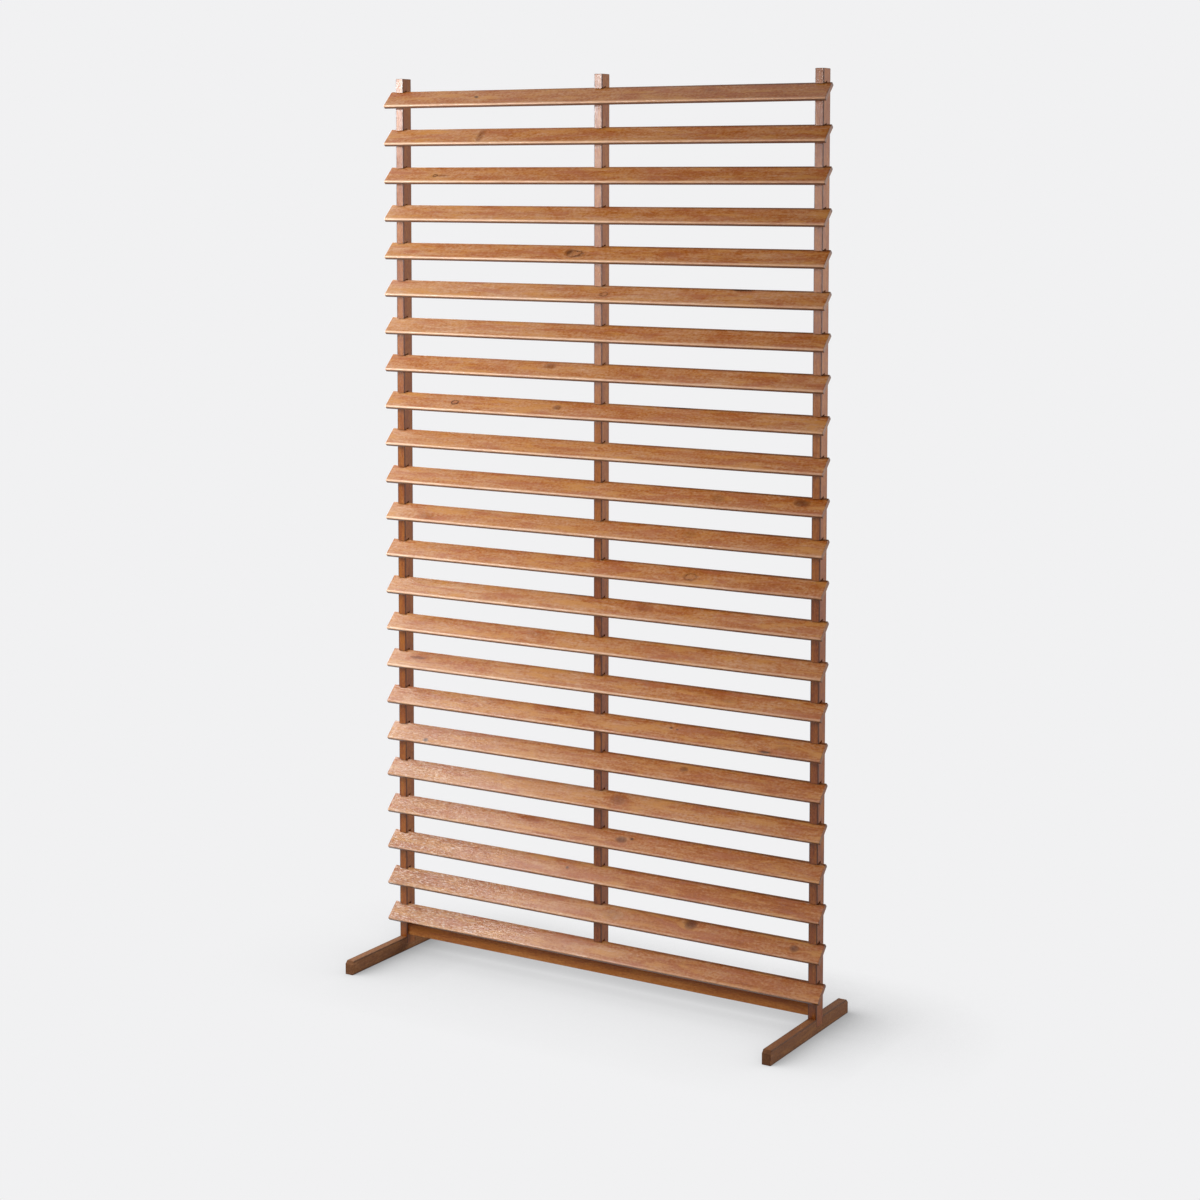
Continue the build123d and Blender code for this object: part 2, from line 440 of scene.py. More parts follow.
class Stave(Board):
    """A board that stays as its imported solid, and so is found from Object coordinates."""

    arris_reach = 0.0034
    arris_start = 0.0006
    sawn_roughness = 0.48
    planed_roughness = 0.30
    lit_half_band = (-0.12, 0.01)

    def __init__(self, name: str, seed: float, tone: float, grain: Grain, lit_upper_half: float = 0.0,
                 rise: float = 0.0) -> None:
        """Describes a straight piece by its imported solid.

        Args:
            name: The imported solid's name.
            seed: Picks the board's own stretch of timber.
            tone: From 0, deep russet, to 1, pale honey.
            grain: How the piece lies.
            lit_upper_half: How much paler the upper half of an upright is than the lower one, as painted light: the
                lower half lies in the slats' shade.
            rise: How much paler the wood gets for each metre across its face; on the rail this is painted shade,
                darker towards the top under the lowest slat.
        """
        super().__init__(name, seed, tone)
        self.grain = grain
        self.lit_upper_half = lit_upper_half
        self.rise = rise
        low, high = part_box(name)
        self.middle = dict(zip("XYZ", (low + high) * HALF))
        self.half = dict(zip("XYZ", (high - low) * HALF))

    def place(self, bench: Bench) -> tuple[Signal, Signal, Signal]:
        """Finds the surface's place on the board from Object coordinates.

        Args:
            bench: The finish's bench.

        Returns:
            The place along, across and through the board, in metres from its middle.
        """
        where = bench.make("ShaderNodeTexCoord", output="Object")
        axes = bench.make("ShaderNodeSeparateXYZ", None, {0: where}, "X")
        return tuple(axes.output(axis) - self.middle[axis] for axis in self.grain.value)

    def dark_edges(self, bench: Bench) -> Signal:
        """Finds how near the surface is to a long edge, where the wood is darkened. On the rail only the upper
        edges count: there it is a painted shadow of the lowest slat.

        Args:
            bench: The finish's bench.

        Returns:
            The nearness, from 0 to 1 on the edge itself.
        """
        along, across, through = self.place(bench)
        reach = across if self.grain is Grain.ALONG_RAIL else abs(across)
        gaps = [self.half[axis] - value for axis, value in zip(self.grain.value[1:], (reach, abs(through)))]
        return gaps[0].larger(gaps[1]).step(self.arris_reach, self.arris_start)

    def highlit_edges(self, bench: Bench) -> float:
        """No edge of a straight piece has a painted highlight."""
        return 0.0

    def shade(self, along: Signal, across: Signal) -> Signal | float:
        """How much paler the wood is at a place: painted light on an upright's upper half, and painted shade
        towards the rail's top.
        """
        paler = (along.step(*self.lit_half_band) - HALF) * self.lit_upper_half
        return self.tone + paler + across * self.rise

    def roughening(self, bench: Bench) -> Signal | float:
        """Makes the uprights smoothest on their front and back, and the rail and feet rough all round.

        Args:
            bench: The finish's bench.

        Returns:
            What is added to the wood's roughness.
        """
        if self.grain is not Grain.UPRIGHT:
            return self.sawn_roughness
        return (1.0 - self.facing(bench, "Y")) * self.planed_roughness

    def end_grain(self, bench: Bench) -> Signal:
        """Where the surface cuts across the grain, from 0 to 1."""
        return self.facing(bench, self.grain.value[0])


@dataclass(frozen=True)
class KnotLook:
    """How a knot bends the grain and how far its parts reach, in half knot sizes from its middle."""

    bend: float = 0.75
    bend_fall: float = 0.22
    raggedness: float = 2.0
    outline_sharpness: float = 4.2
    outline_level: float = 1.15
    outline_mottle: float = 4.0
    filling_darkness: float = 0.92
    filling_level: float = 0.95
    filling_mottle: float = 3.4
    filling_band: Band = (1.35, 0.50)
    eye_band: Band = (0.95, 0.55)
    heart_band: Band = (0.80, 0.45)


@dataclass(frozen=True)
class OiledHardwood:
    """Warm red-brown hardwood under a satin oil. Pattern sizes run along, across and through the grain.

    A band holds the values between which a mark goes from absent to full, and a share is how far its colour
    covers what lies below. A weight is what a pattern adds to the lightness, and a dullness to the roughness.
    """

    name: str = "oiled_hardwood"
    tones: tuple[tuple[float, Colour], ...] = (
        (0.00, (0.250, 0.050, 0.003)),
        (0.25, (0.335, 0.088, 0.010)),
        (0.40, (0.404, 0.140, 0.035)),
        (0.50, (0.448, 0.188, 0.066)),
        (0.75, (0.525, 0.278, 0.142)),
        (1.00, (0.610, 0.388, 0.232)),
    )
    blush: Colour = (0.370, 0.112, 0.046)
    gold: Colour = (0.520, 0.232, 0.058)
    vein: Colour = (0.180, 0.052, 0.014)
    # colour of the painted highlight on the slats' lower front edges
    edge_highlight: Colour = (0.800, 0.530, 0.345)
    knot_brown: Colour = (0.200, 0.056, 0.014)
    knot_line: Colour = (0.060, 0.015, 0.004)
    knot_eye: Colour = (0.020, 0.006, 0.003)
    knot_heart: Colour = (0.520, 0.265, 0.125)
    # colour of the painted sheen, where the lower slats' left ends mirror the left lamps
    painted_sheen: Colour = (0.800, 0.700, 0.620)
    # the end grain's own colour, also laid on the darkened edges
    end_grain_and_shade_brown: Colour = (0.085, 0.026, 0.008)
    wander: Pattern = Pattern((0.30, 0.05, 0.05), 3.0, 0.45)
    streaks: Pattern = Pattern((0.12, 0.0065, 0.0065), 3.0, 0.60, 1.0)
    fine_streaks: Pattern = Pattern((0.026, 0.0019, 0.0019), 3.0, 0.65, 2.0)
    patches: Pattern = Pattern((0.105, 0.021, 0.021), 3.0, 0.55, 3.0, 0.5)
    flecks: Pattern = Pattern((0.0060, 0.0040, 0.0040), 2.0, 0.55, 4.0)
    fibres: Pattern = Pattern((0.0100, 0.0008, 0.0008), 2.0, 0.60, 5.0)
    hues: Pattern = Pattern((0.090, 0.014, 0.014), 3.0, 0.60, 6.0, 0.5)
    veins: Pattern = Pattern((0.026, 0.0019, 0.0019), 2.0, 0.50, 7.0)
    pores: Pattern = Pattern((0.0110, 0.00050, 0.00050), 1.0, 0.50, 8.0)
    speckles: Pattern = Pattern((0.0090, 0.0022, 0.0022), 3.0, 0.60, 9.0)
    knot_edges: Pattern = Pattern((0.010, 0.0046, 1.0), 3.0, 0.70, 10.0)
    knot_look: KnotLook = KnotLook()
    wander_depth: float = 0.014
    ring_width: float = 0.0048
    ring_depth: float = 0.038
    ring_depth_spread: float = 0.4
    ring_depth_turn: float = 1.7
    ring_aside: float = 0.040
    ring_aside_turn: float = 2.3
    ring_taper: float = 0.020
    ring_taper_turn: float = 3.1
    ring_band: Band = (0.35, 1.0)
    streak_weight: float = 0.36
    fine_weight: float = 0.52
    patch_weight: float = 0.72
    fleck_weight: float = 0.76
    fibre_weight: float = 0.50
    ring_weight: float = 0.06
    blush_band: Band = (0.50, 0.68)
    blush_share: float = 0.62
    gold_band: Band = (0.50, 0.32)
    gold_share: float = 0.72
    vein_band: Band = (0.64, 0.76)
    vein_share: float = 0.45
    pore_band: Band = (0.60, 0.72)
    pore_share: float = 0.35
    sheen_dash_band: Band = (0.02, 0.16)
    sheen_dash_share: float = 0.75
    dark_dash_band: Band = (-0.04, -0.16)
    dark_dash_share: float = 0.60
    highlight_by_streak: float = 1.4
    highlight_by_fine: float = 0.8
    end_share: float = 0.62
    edge_darkness: float = 0.88
    sheen_roughness: float = 0.20
    streak_dullness: float = 0.16
    fine_dullness: float = 0.16
    speckle_dullness: float = 0.30
    pore_dullness: float = 0.14
    end_dullness: float = 0.24
    gloss: float = 0.45
    pore_relief: float = 0.00006
    speckle_relief: float = 0.00028
    raised_relief: float = 0.00170
    fibre_relief: float = 0.000014

    def material(self, board: Board) -> bpy.types.Material:
        """Makes the wood of one board.

        Args:
            board: The board to be dressed.

        Returns:
            The board's own material.
        """
        bench = Bench(bpy.data.materials.new(f"{self.name}_{board.name}"))
        along, across, through = board.place(bench)
        bent, filling, outline, eye, heart = self.knots(bench, board, along, across)
        straight = bench.make("ShaderNodeCombineXYZ", None, {0: along, 1: bent, 2: through})
        wander = bench.noise(straight, self.wander, board.seed) - HALF
        grain = bent + wander * self.wander_depth
        place = bench.make("ShaderNodeCombineXYZ", None, {0: along, 1: grain, 2: through})

        patterns = (self.streaks, self.fine_streaks, self.patches, self.flecks, self.fibres, self.speckles)
        streak, fine, patch, fleck, fibre, speckle = (
            bench.noise(place, pattern, board.seed) - HALF for pattern in patterns)
        rings = self.rings(board, along, grain, through)
        lightness = (board.shade(along, across) + self.streak_weight * streak + self.fine_weight * fine
                     + self.patch_weight * patch + self.fleck_weight * fleck + self.fibre_weight * fibre
                     - self.ring_weight * rings)
        colour = bench.make("ShaderNodeValToRGB", {"stops": self.tones}, {0: lightness})

        hue = bench.noise(place, self.hues, board.seed)
        veins = bench.noise(place, self.veins, board.seed).step(*self.vein_band)
        pores = bench.noise(place, self.pores, board.seed).step(*self.pore_band)
        raised_grain_sheen = along.step(*board.raised_sheen_end) * board.raised_grain_sheen
        # painted highlight on the lower front edge, broken up by the streaks
        edge_highlight = board.highlit_edges(bench) * (1.0 + self.highlight_by_streak * streak + self.highlight_by_fine * fine)
        ends = board.end_grain(bench)
        layers = (
            (hue.step(*self.blush_band) * self.blush_share, self.blush),
            (hue.step(*self.gold_band) * self.gold_share, self.gold),
            (veins * self.vein_share, self.vein),
            (pores * self.pore_share, self.vein),
            # pale dashes: painted sheen on the raised grain
            (raised_grain_sheen * speckle.step(*self.sheen_dash_band) * self.sheen_dash_share, self.painted_sheen),
            (raised_grain_sheen * speckle.step(*self.dark_dash_band) * self.dark_dash_share, self.vein),
            (filling, self.knot_brown),
            (heart, self.knot_heart),
            (outline, self.knot_line),
            (eye, self.knot_eye),
            (edge_highlight, self.edge_highlight),
            # darkened edges: painted shade on the slats, a painted shadow along the rail's upper edge, dark arrises
            # elsewhere
            (board.dark_edges(bench) * self.edge_darkness, self.end_grain_and_shade_brown),
            (ends * self.end_share, self.end_grain_and_shade_brown),
        )
        for share, above in layers:
            colour = bench.blend(share, colour, above)

        relief = self.speckle_relief + self.raised_relief * raised_grain_sheen
        height = relief * speckle + self.fibre_relief * fibre - self.pore_relief * pores
        normal = bench.make("ShaderNodeBump", None, {"Strength": 1.0, "Distance": 1.0, "Height": height})
        roughness = (self.sheen_roughness + self.streak_dullness * streak + self.fine_dullness * fine
                     + self.speckle_dullness * speckle + self.pore_dullness * pores
                     + self.end_dullness * ends + board.roughening(bench))
        return bench.finish(Base_Color=colour, Roughness=roughness, Normal=normal,
                            Specular_IOR_Level=self.gloss)

    def rings(self, board: Board, along: Signal, grain: Signal, through: Signal) -> Signal:
        """Growth rings: circles about a pith beside and below the face, which closes in along the board.

        Args:
            board: The board, whose seed places the pith.
            along: Place along the grain.
            grain: Wandering place across the face.
            through: Place through the thickness.

        Returns:
            The darkness of the late wood, from 0 to 1.
        """
        aside = self.ring_aside * math.sin(board.seed * self.ring_aside_turn)
        below = self.ring_depth * (1.0 + self.ring_depth_spread * math.sin(board.seed * self.ring_depth_turn))
        taper = self.ring_taper * math.cos(board.seed * self.ring_taper_turn)
        offset = grain - aside
        depth = through - below
        radius = (offset * offset + depth * depth).root() + along * taper
        return (radius / self.ring_width).wave().step(*self.ring_band)

    def knots(self, bench: Bench, board: Board, along: Signal,
              across: Signal) -> tuple[Signal, Signal, Signal, Signal, Signal]:
        """Bends the grain round a board's knots and draws their filling, outline, eye and heart.

        Args:
            bench: The finish's bench.
            board: The board and its knots.
            along: Place along the grain.
            across: Place across the face.

        Returns:
            The bent place across, and how strongly the knots' filling, outline, eye and heart show.
        """
        flat = bench.make("ShaderNodeCombineXYZ", None, {0: along, 1: across})
        ragged = bench.noise(flat, self.knot_edges, board.seed) - HALF
        look = self.knot_look
        bent = across
        nothing = 0.0 * along
        filling, outline, eye, heart = nothing, nothing, nothing, nothing
        for knot in board.knots:
            outline_share, filling_share, eye_share, heart_share = knot.mark.value
            beside = (along - knot.along) / (HALF * knot.length)
            above = (across - knot.across) / (HALF * knot.breadth)
            reach = beside * beside + above * above
            bent = bent - (across - knot.across) * look.bend * (reach * look.bend_fall).decay()
            distance = reach.root() + ragged * look.raggedness
            gap = (distance - 1.0) * look.outline_sharpness
            line = (gap * gap).decay() * (outline_share * knot.strength)
            outline = outline.larger(line * (look.outline_level + look.outline_mottle * ragged))
            mottled = ((look.filling_darkness * filling_share * knot.strength)
                       * (look.filling_level + look.filling_mottle * ragged))
            filling = filling.larger(distance.step(*look.filling_band) * mottled)
            eye = eye.larger(distance.step(*look.eye_band) * (eye_share * knot.strength))
            heart = heart.larger(distance.step(*look.heart_band) * (heart_share * knot.strength))
        return bent, filling, outline, eye, heart


@dataclass(frozen=True)
class ZincPlate:
    """Bright zinc plating on the screws, bolts, washers and nuts."""

    pale: Colour = (0.66, 0.66, 0.64)
    dull: Colour = (0.46, 0.47, 0.47)
    clouds: Pattern = Pattern((0.003, 0.003, 0.003), 3.0, 0.6)
    cloud_band: Band = (0.35, 0.70)
    scratches: Pattern = Pattern((0.004, 0.0002, 0.0002), 2.0, 0.5, 1.0)
    scratch_relief: float = 0.000006
    least_roughness: float = 0.28
    cloud_roughness: float = 0.22

    def material(self, name: str, seed: float) -> bpy.types.Material:
        """Makes the plating of one set of fixings.

        Args:
            name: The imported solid's name.
            seed: Picks another stretch of the pattern.

        Returns:
            The plating's material.
        """
        bench = Bench(bpy.data.materials.new(f"zinc_plate_{name}"))
        where = bench.make("ShaderNodeTexCoord", output="Object")
        cloud = bench.noise(where, self.clouds, seed)
        scratch = bench.noise(where, self.scratches, seed)
        colour = bench.blend(cloud.step(*self.cloud_band), self.dull, self.pale)
        roughness = self.least_roughness + self.cloud_roughness * cloud
        normal = bench.make("ShaderNodeBump", None, {"Distance": 1.0, "Height": scratch * self.scratch_relief})
        return bench.finish(Base_Color=colour, Metallic=1.0, Roughness=roughness, Normal=normal)


@dataclass
class SlatSet:
    """The sloping slats: rounded bars with their lower edges forward."""

    count: int = 23
    width: float = 0.042
    thickness: float = 0.009
    tilt: float = math.radians(45.0)
    arris_radius: float = 0.0025
    end_radius: float = 0.0008
    hold: float = 0.0006
    arris_steps: int = 7
    end_steps: int = 5
    ring_spacing: float = 0.012
    arris_waver: float = 0.10
    long_wave: float = 9.0
    short_wave: float = 23.0
    short_phase: float = 1.7
    phase_step: float = 2.1
    seed_step: float = 1.37
    bow: float = 0.0002
    # the upper slats get a stronger painted highlight on their lower front edges
    most_highlit: int = 16
    upper_highlight: float = 0.78
    lower_highlight: float = 0.34
    # the lowest slats get the most raised grain and painted sheen
    raised_sheen_from: float = 15.0
    raised_sheen_over: float = 7.0
    least_raised_sheen: float = 0.1
    # painted light: every slat is paler towards its left end, nearest the lamps
    lit_left: float = -0.08
    finish: OiledHardwood = field(default_factory=OiledHardwood)
    # each slat's tone and drift; the drifts are partly the timber's own and partly painted light from the left
    timber: tuple[tuple[Tone, float], ...] = (
        (Tone.RUSSET, -0.07), (Tone.HONEY, -0.10), (Tone.AMBER, -0.03), (Tone.WHEAT, -0.12),
        (Tone.AMBER, -0.04), (Tone.STRAW, -0.08), (Tone.HONEY, -0.11), (Tone.HONEY, 0.04),
        (Tone.HONEY, 0.00), (Tone.WHEAT, -0.04), (Tone.AMBER, -0.11), (Tone.HONEY, -0.10),
        (Tone.AMBER, -0.07), (Tone.WHEAT, -0.10), (Tone.HONEY, 0.06), (Tone.HONEY, -0.05),
        (Tone.RUSSET, 0.00), (Tone.AMBER, -0.08), (Tone.HONEY, -0.11), (Tone.RUSSET, -0.02),
        (Tone.UMBER, -0.07), (Tone.RUSSET, -0.09), (Tone.RUSSET, -0.08),
    )
    knots: tuple[Knot, ...] = (
        Knot(1, -0.276, 0.000, 0.010, 0.006, 0.90, Mark.EYE),
        Knot(1, 0.250, 0.004, 0.034, 0.014, 0.35, Mark.SMUDGE),
        Knot(2, -0.266, 0.000, 0.016, 0.036, 0.80, Mark.SMUDGE),
        Knot(3, -0.374, -0.004, 0.010, 0.007, 0.90, Mark.RING),
        Knot(3, -0.360, -0.004, 0.036, 0.006, 0.70, Mark.SMUDGE),
        Knot(5, -0.047, -0.002, 0.032, 0.016, 0.62, Mark.RING),
        Knot(5, -0.060, 0.002, 0.018, 0.014, 0.70, Mark.BLOT),
        Knot(5, -0.018, -0.006, 0.026, 0.004, 0.60, Mark.SMUDGE),
        Knot(5, 0.166, 0.000, 0.030, 0.012, 0.25, Mark.SMUDGE),
        Knot(6, 0.020, -0.003, 0.018, 0.010, 0.45, Mark.RING),
        Knot(6, 0.312, 0.018, 0.052, 0.010, 0.95, Mark.STREAK),
        Knot(8, -0.107, 0.008, 0.024, 0.012, 0.50, Mark.BLOT),
        Knot(9, -0.330, 0.000, 0.015, 0.010, 1.00, Mark.RING),
        Knot(9, -0.088, 0.002, 0.016, 0.010, 0.65, Mark.BLOT),
        Knot(9, 0.182, 0.019, 0.085, 0.006, 0.85, Mark.STREAK),
        Knot(11, 0.270, 0.000, 0.026, 0.018, 0.60, Mark.SMUDGE),
        Knot(11, 0.443, 0.004, 0.030, 0.014, 0.80, Mark.BLOT),
        Knot(12, -0.399, -0.008, 0.036, 0.014, 0.45, Mark.SMUDGE),
        Knot(12, 0.208, 0.004, 0.028, 0.014, 0.45, Mark.SMUDGE),
        Knot(13, 0.212, -0.002, 0.024, 0.016, 0.45, Mark.RING),
        Knot(14, -0.052, 0.0195, 0.090, 0.005, 0.55, Mark.STREAK),
        Knot(14, 0.107, 0.006, 0.034, 0.018, 0.55, Mark.SMUDGE),
        Knot(15, -0.140, 0.006, 0.030, 0.010, 0.35, Mark.SMUDGE),
        Knot(16, -0.425, 0.004, 0.045, 0.008, 0.45, Mark.STREAK),
        Knot(16, 0.295, -0.004, 0.030, 0.008, 0.35, Mark.SMUDGE),
        Knot(17, -0.095, 0.017, 0.040, 0.011, 0.75, Mark.SMUDGE),
        Knot(17, 0.168, 0.007, 0.008, 0.004, 0.75, Mark.EYE),
        Knot(17, 0.182, 0.005, 0.006, 0.003, 0.65, Mark.EYE),
        Knot(17, 0.380, -0.017, 0.028, 0.006, 0.80, Mark.STREAK),
        Knot(17, 0.415, -0.004, 0.030, 0.012, 0.35, Mark.SMUDGE),
        Knot(18, -0.399, -0.014, 0.012, 0.008, 0.80, Mark.EYE),
        Knot(18, 0.197, 0.006, 0.016, 0.010, 0.60, Mark.BLOT),
        Knot(19, 0.052, 0.002, 0.034, 0.020, 0.80, Mark.SMUDGE),
        Knot(20, -0.155, 0.012, 0.050, 0.008, 0.40, Mark.SMUDGE),
        Knot(20, 0.060, 0.000, 0.022, 0.012, 0.85, Mark.BLOT),
        Knot(20, 0.082, 0.005, 0.007, 0.005, 0.85, Mark.EYE),
        Knot(21, -0.340, 0.000, 0.016, 0.010, 0.35, Mark.SMUDGE),
        Knot(21, -0.065, 0.002, 0.008, 0.006, 0.70, Mark.EYE),
        Knot(22, 0.040, 0.000, 0.044, 0.020, 0.45, Mark.SMUDGE),
        Knot(22, 0.211, 0.010, 0.024, 0.018, 0.90, Mark.BLOT),
        Knot(22, 0.436, 0.000, 0.016, 0.012, 0.80, Mark.BLOT),
        Knot(23, -0.290, -0.014, 0.018, 0.009, 0.40, Mark.SMUDGE),
    )

    def build(self) -> None:
        """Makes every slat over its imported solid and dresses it."""
        for number in range(1, self.count + 1):
            node = f"slat_{number:02d}"
            piece = self.mesh(f"louvre_{number:02d}", node, number)
            knots = tuple(knot for knot in self.knots if knot.slat == number)
            tone, drift = self.timber[number - 1]
            highlight_level = self.upper_highlight if number <= self.most_highlit else self.lower_highlight
            raised_grain_sheen = min(max((number - self.raised_sheen_from) / self.raised_sheen_over, self.least_raised_sheen), 1.0)
            seed = number * self.seed_step
            board = Board(node, seed, tone.value, drift + self.lit_left, knots, highlight_level, raised_grain_sheen)
            piece.data.materials.append(self.finish.material(board))
            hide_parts(node)
            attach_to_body(piece, WHOLE_SCREEN)
            log.info("%s stands for %s with %d knots", piece.name, node, len(knots))

    def section(self) -> tuple[np.ndarray, np.ndarray, np.ndarray]:
        """Lays out the section's points, round a rounded rectangle.

        A point is S * (h - r) + N * (r - inset) + D, where h is the half size, r the arris radius, S the
        quarter that the point is in, N its outward direction and D its step along a flat side.

        Returns:
            The arrays S, N and D, each with a row for every point.
        """
        signs, normals, steps = [], [], []
        angles = np.linspace(0.0, math.pi / 2, self.arris_steps)
        quarters = ((1, 1), (-1, 1), (-1, -1), (1, -1))
        for turn, sign in enumerate(quarters):
            arc = np.stack([np.cos(angles + turn * math.pi / 2), np.sin(angles + turn * math.pi / 2)], 1)
            side = arc[-1]
            tangent = np.array([-side[1], side[0]])
            signs += [sign] * (self.arris_steps + 1)
            normals += [*arc, side]
            steps += [np.zeros(2)] * self.arris_steps + [tangent * self.hold]
            signs.append(np.abs(side) * sign)
            normals.append(side)
            steps.append(np.zeros(2))
            signs.append(quarters[(turn + 1) % len(quarters)])
            normals.append(side)
            steps.append(-tangent * self.hold)
        return np.array(signs, float), np.array(normals, float), np.array(steps, float)

    def stations(self, half_length: float) -> tuple[np.ndarray, np.ndarray]:
        """Lays out the rings along a slat.

        Each end turns in over a quarter circle, then once more on its flat face.

        Args:
            half_length: Half of the slat's length.

        Returns:
            Each ring's place along the slat, and how far it is set in.
        """
        turn = np.linspace(0.0, math.pi / 2, self.end_steps)
        ease = self.end_radius * (1.0 - np.cos(turn))
        reach = half_length - self.end_radius * (1.0 - np.sin(turn))
        end_ease = np.append(ease, self.end_radius + self.hold * HALF)
        end_reach = np.append(reach, half_length)
        straight = half_length - self.end_radius - self.hold
        middle = np.linspace(-straight, straight, int(2 * straight / self.ring_spacing))
        places = np.concatenate([-end_reach[::-1], middle, end_reach])
        insets = np.concatenate([end_ease[::-1], np.zeros(len(middle)), end_ease])
        return places, insets

    def mesh(self, name: str, node: str, number: int) -> bpy.types.Object:
        """Carries the section along one slat.

        Args:
            name: The new piece's name.
            node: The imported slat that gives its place.
            number: The slat's number, which varies its hand-eased edges.

        Returns:
            The slat's object.
        """
        low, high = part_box(node)
        centre = (low + high) * HALF
        places, insets = self.stations((high.x - low.x) * HALF)
        signs, normals, steps = self.section()
        phase = number * self.phase_step
        waver = (np.sin(places * self.long_wave + phase)
                 + HALF * np.sin(places * self.short_wave + phase * self.short_phase))
        radius = self.arris_radius * (1.0 - self.arris_waver * np.abs(waver) * HALF)
        half = np.array([self.width, self.thickness]) * HALF
        points = (signs * (half - radius[:, None, None])
                  + normals * (radius - insets)[:, None, None] + steps)
        bend = self.bow * np.cos(math.pi * places / (high.x - low.x)) * math.sin(phase)
        rise = np.array([math.sin(self.tilt), math.cos(self.tilt)])
        depth = np.array([math.cos(self.tilt), -math.sin(self.tilt)])
        plane = points[..., :1] * rise + (points[..., 1:] + bend[:, None, None]) * depth
        count = len(signs)
        along = np.repeat(places[:, None], count, 1)
        vertices = np.stack([along + centre.x, plane[..., 0] + centre.y, plane[..., 1] + centre.z], -1)
        board = np.stack([along, points[..., 0], points[..., 1]], -1)
        mesh = tube_mesh(name, vertices)
        attach(mesh, "board", board)
        piece = bpy.data.objects.new(name, mesh)
        bpy.context.scene.collection.objects.link(piece)
        return piece


def tube_mesh(name: str, rings: np.ndarray) -> bpy.types.Mesh:
    """Closes rings of points into a solid: quads between the rings and a flat face at each end.

    Args:
        name: The mesh's name.
        rings: Points as rings, points in a ring and coordinates. Each ring turns from the face's rise to
            its depth, seen along X.

    Returns:
        The smooth-shaded mesh, with its faces outwards.
    """
    ring_count, count = rings.shape[:2]
    first = np.arange(ring_count - 1)[:, None] * count
    here = np.arange(count)[None, :]
    after = (here + 1) % count
    quads = np.stack([first + here, first + count + here, first + count + after, first + after], -1)
    caps = [list(range(count)), list(range(ring_count * count - 1, (ring_count - 1) * count - 1, -1))]
    mesh = bpy.data.meshes.new(name)
    mesh.from_pydata(rings.reshape(-1, 3), [], quads.reshape(-1, 4).tolist() + caps)
    mesh.polygons.foreach_set("use_smooth", np.ones(len(mesh.polygons), bool))
    mesh.update()
    return mesh


def attach(mesh: bpy.types.Mesh, name: str, values: np.ndarray) -> None:
    """Stores a vector on each of a mesh's points.

    Args:
        mesh: The mesh.
        name: The attribute's name.
        values: The vectors, in the order of the points.
    """
    attribute = mesh.attributes.new(name, "FLOAT_VECTOR", "POINT")
    attribute.data.foreach_set("vector", values.astype(np.float32).ravel())


@dataclass
class Carcass:
    """The uprights, bottom rail and feet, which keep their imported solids."""

    finish: OiledHardwood = field(default_factory=lambda: OiledHardwood(
        name="stained_hardwood",
        tones=(
            (0.00, (0.110, 0.020, 0.001)),
            (0.25, (0.195, 0.042, 0.002)),
            (0.50, (0.266, 0.072, 0.005)),
            (0.75, (0.345, 0.112, 0.014)),
            (1.00, (0.430, 0.165, 0.035)),
        ),
        blush=(0.215, 0.052, 0.008),
        gold=(0.330, 0.100, 0.006),
        end_grain_and_shade_brown=(0.070, 0.020, 0.006),
        gloss=0.42,
    ))
    foot_finish: OiledHardwood = field(default_factory=lambda: OiledHardwood(
        name="weathered_hardwood",
        tones=(
            (0.00, (0.085, 0.022, 0.004)),
            (0.25, (0.140, 0.045, 0.009)),
            (0.50, (0.195, 0.072, 0.018)),
            (0.75, (0.285, 0.118, 0.040)),
            (1.00, (0.400, 0.190, 0.085)),
        ),
        blush=(0.160, 0.052, 0.012),
        gold=(0.250, 0.095, 0.020),
        end_grain_and_shade_brown=(0.070, 0.024, 0.008),
        edge_darkness=0.80,
        gloss=0.42,
    ))

    def build(self, nodes: dict[str, bpy.types.Object]) -> None:
        """Dresses every solid of the carcass.

        Args:
            nodes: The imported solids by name.
        """
        timber = (
            (Stave("left_post", 41.3, 0.52, Grain.UPRIGHT), self.finish),
            (Stave("centre_post", 44.9, 0.47, Grain.UPRIGHT, lit_upper_half=0.34), self.finish),
            (Stave("right_post", 47.2, 0.47, Grain.UPRIGHT, lit_upper_half=0.28), self.finish),
            # painted shade: the rail darkens towards its top, under the lowest slat
            (Stave("bottom_rail", 51.7, 0.62, Grain.ALONG_RAIL, rise=-20.0), self.finish),
            # painted light: the left foot is paler for the sheen on its top, the right foot darker where less light
            # reaches it
            (Stave("left_foot", 55.1, 0.64, Grain.ALONG_FOOT), self.foot_finish),
            (Stave("right_foot", 58.6, 0.44, Grain.ALONG_FOOT), self.foot_finish),
        )
        for stave, finish in timber:
            dress(nodes[stave.name], finish.material(stave))
            log.info("%s is dressed as %s", stave.name, finish.name)


@dataclass
class Fixings:
    """The screws, bolts, washers and barrel nuts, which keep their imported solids."""

    finish: ZincPlate = field(default_factory=ZincPlate)
    names: tuple[str, ...] = (
        "left_slat_screws", "centre_slat_screws", "right_slat_screws", "centre_post_screw",
        "left_foot_bolt", "right_foot_bolt", "left_foot_washer", "right_foot_washer",
        "left_barrel_nut", "right_barrel_nut",
    )

    def build(self, nodes: dict[str, bpy.types.Object]) -> None:
        """Dresses every fixing.

        Args:
            nodes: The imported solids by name.
        """
        for seed, name in enumerate(self.names):
            dress(nodes[name], self.finish.material(name, float(seed)))
            log.info("%s is dressed as zinc plate", name)


def dress(node: bpy.types.Object, material: bpy.types.Material) -> None:
    """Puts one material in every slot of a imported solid."""
    for slot in node.material_slots:
        slot.material = material


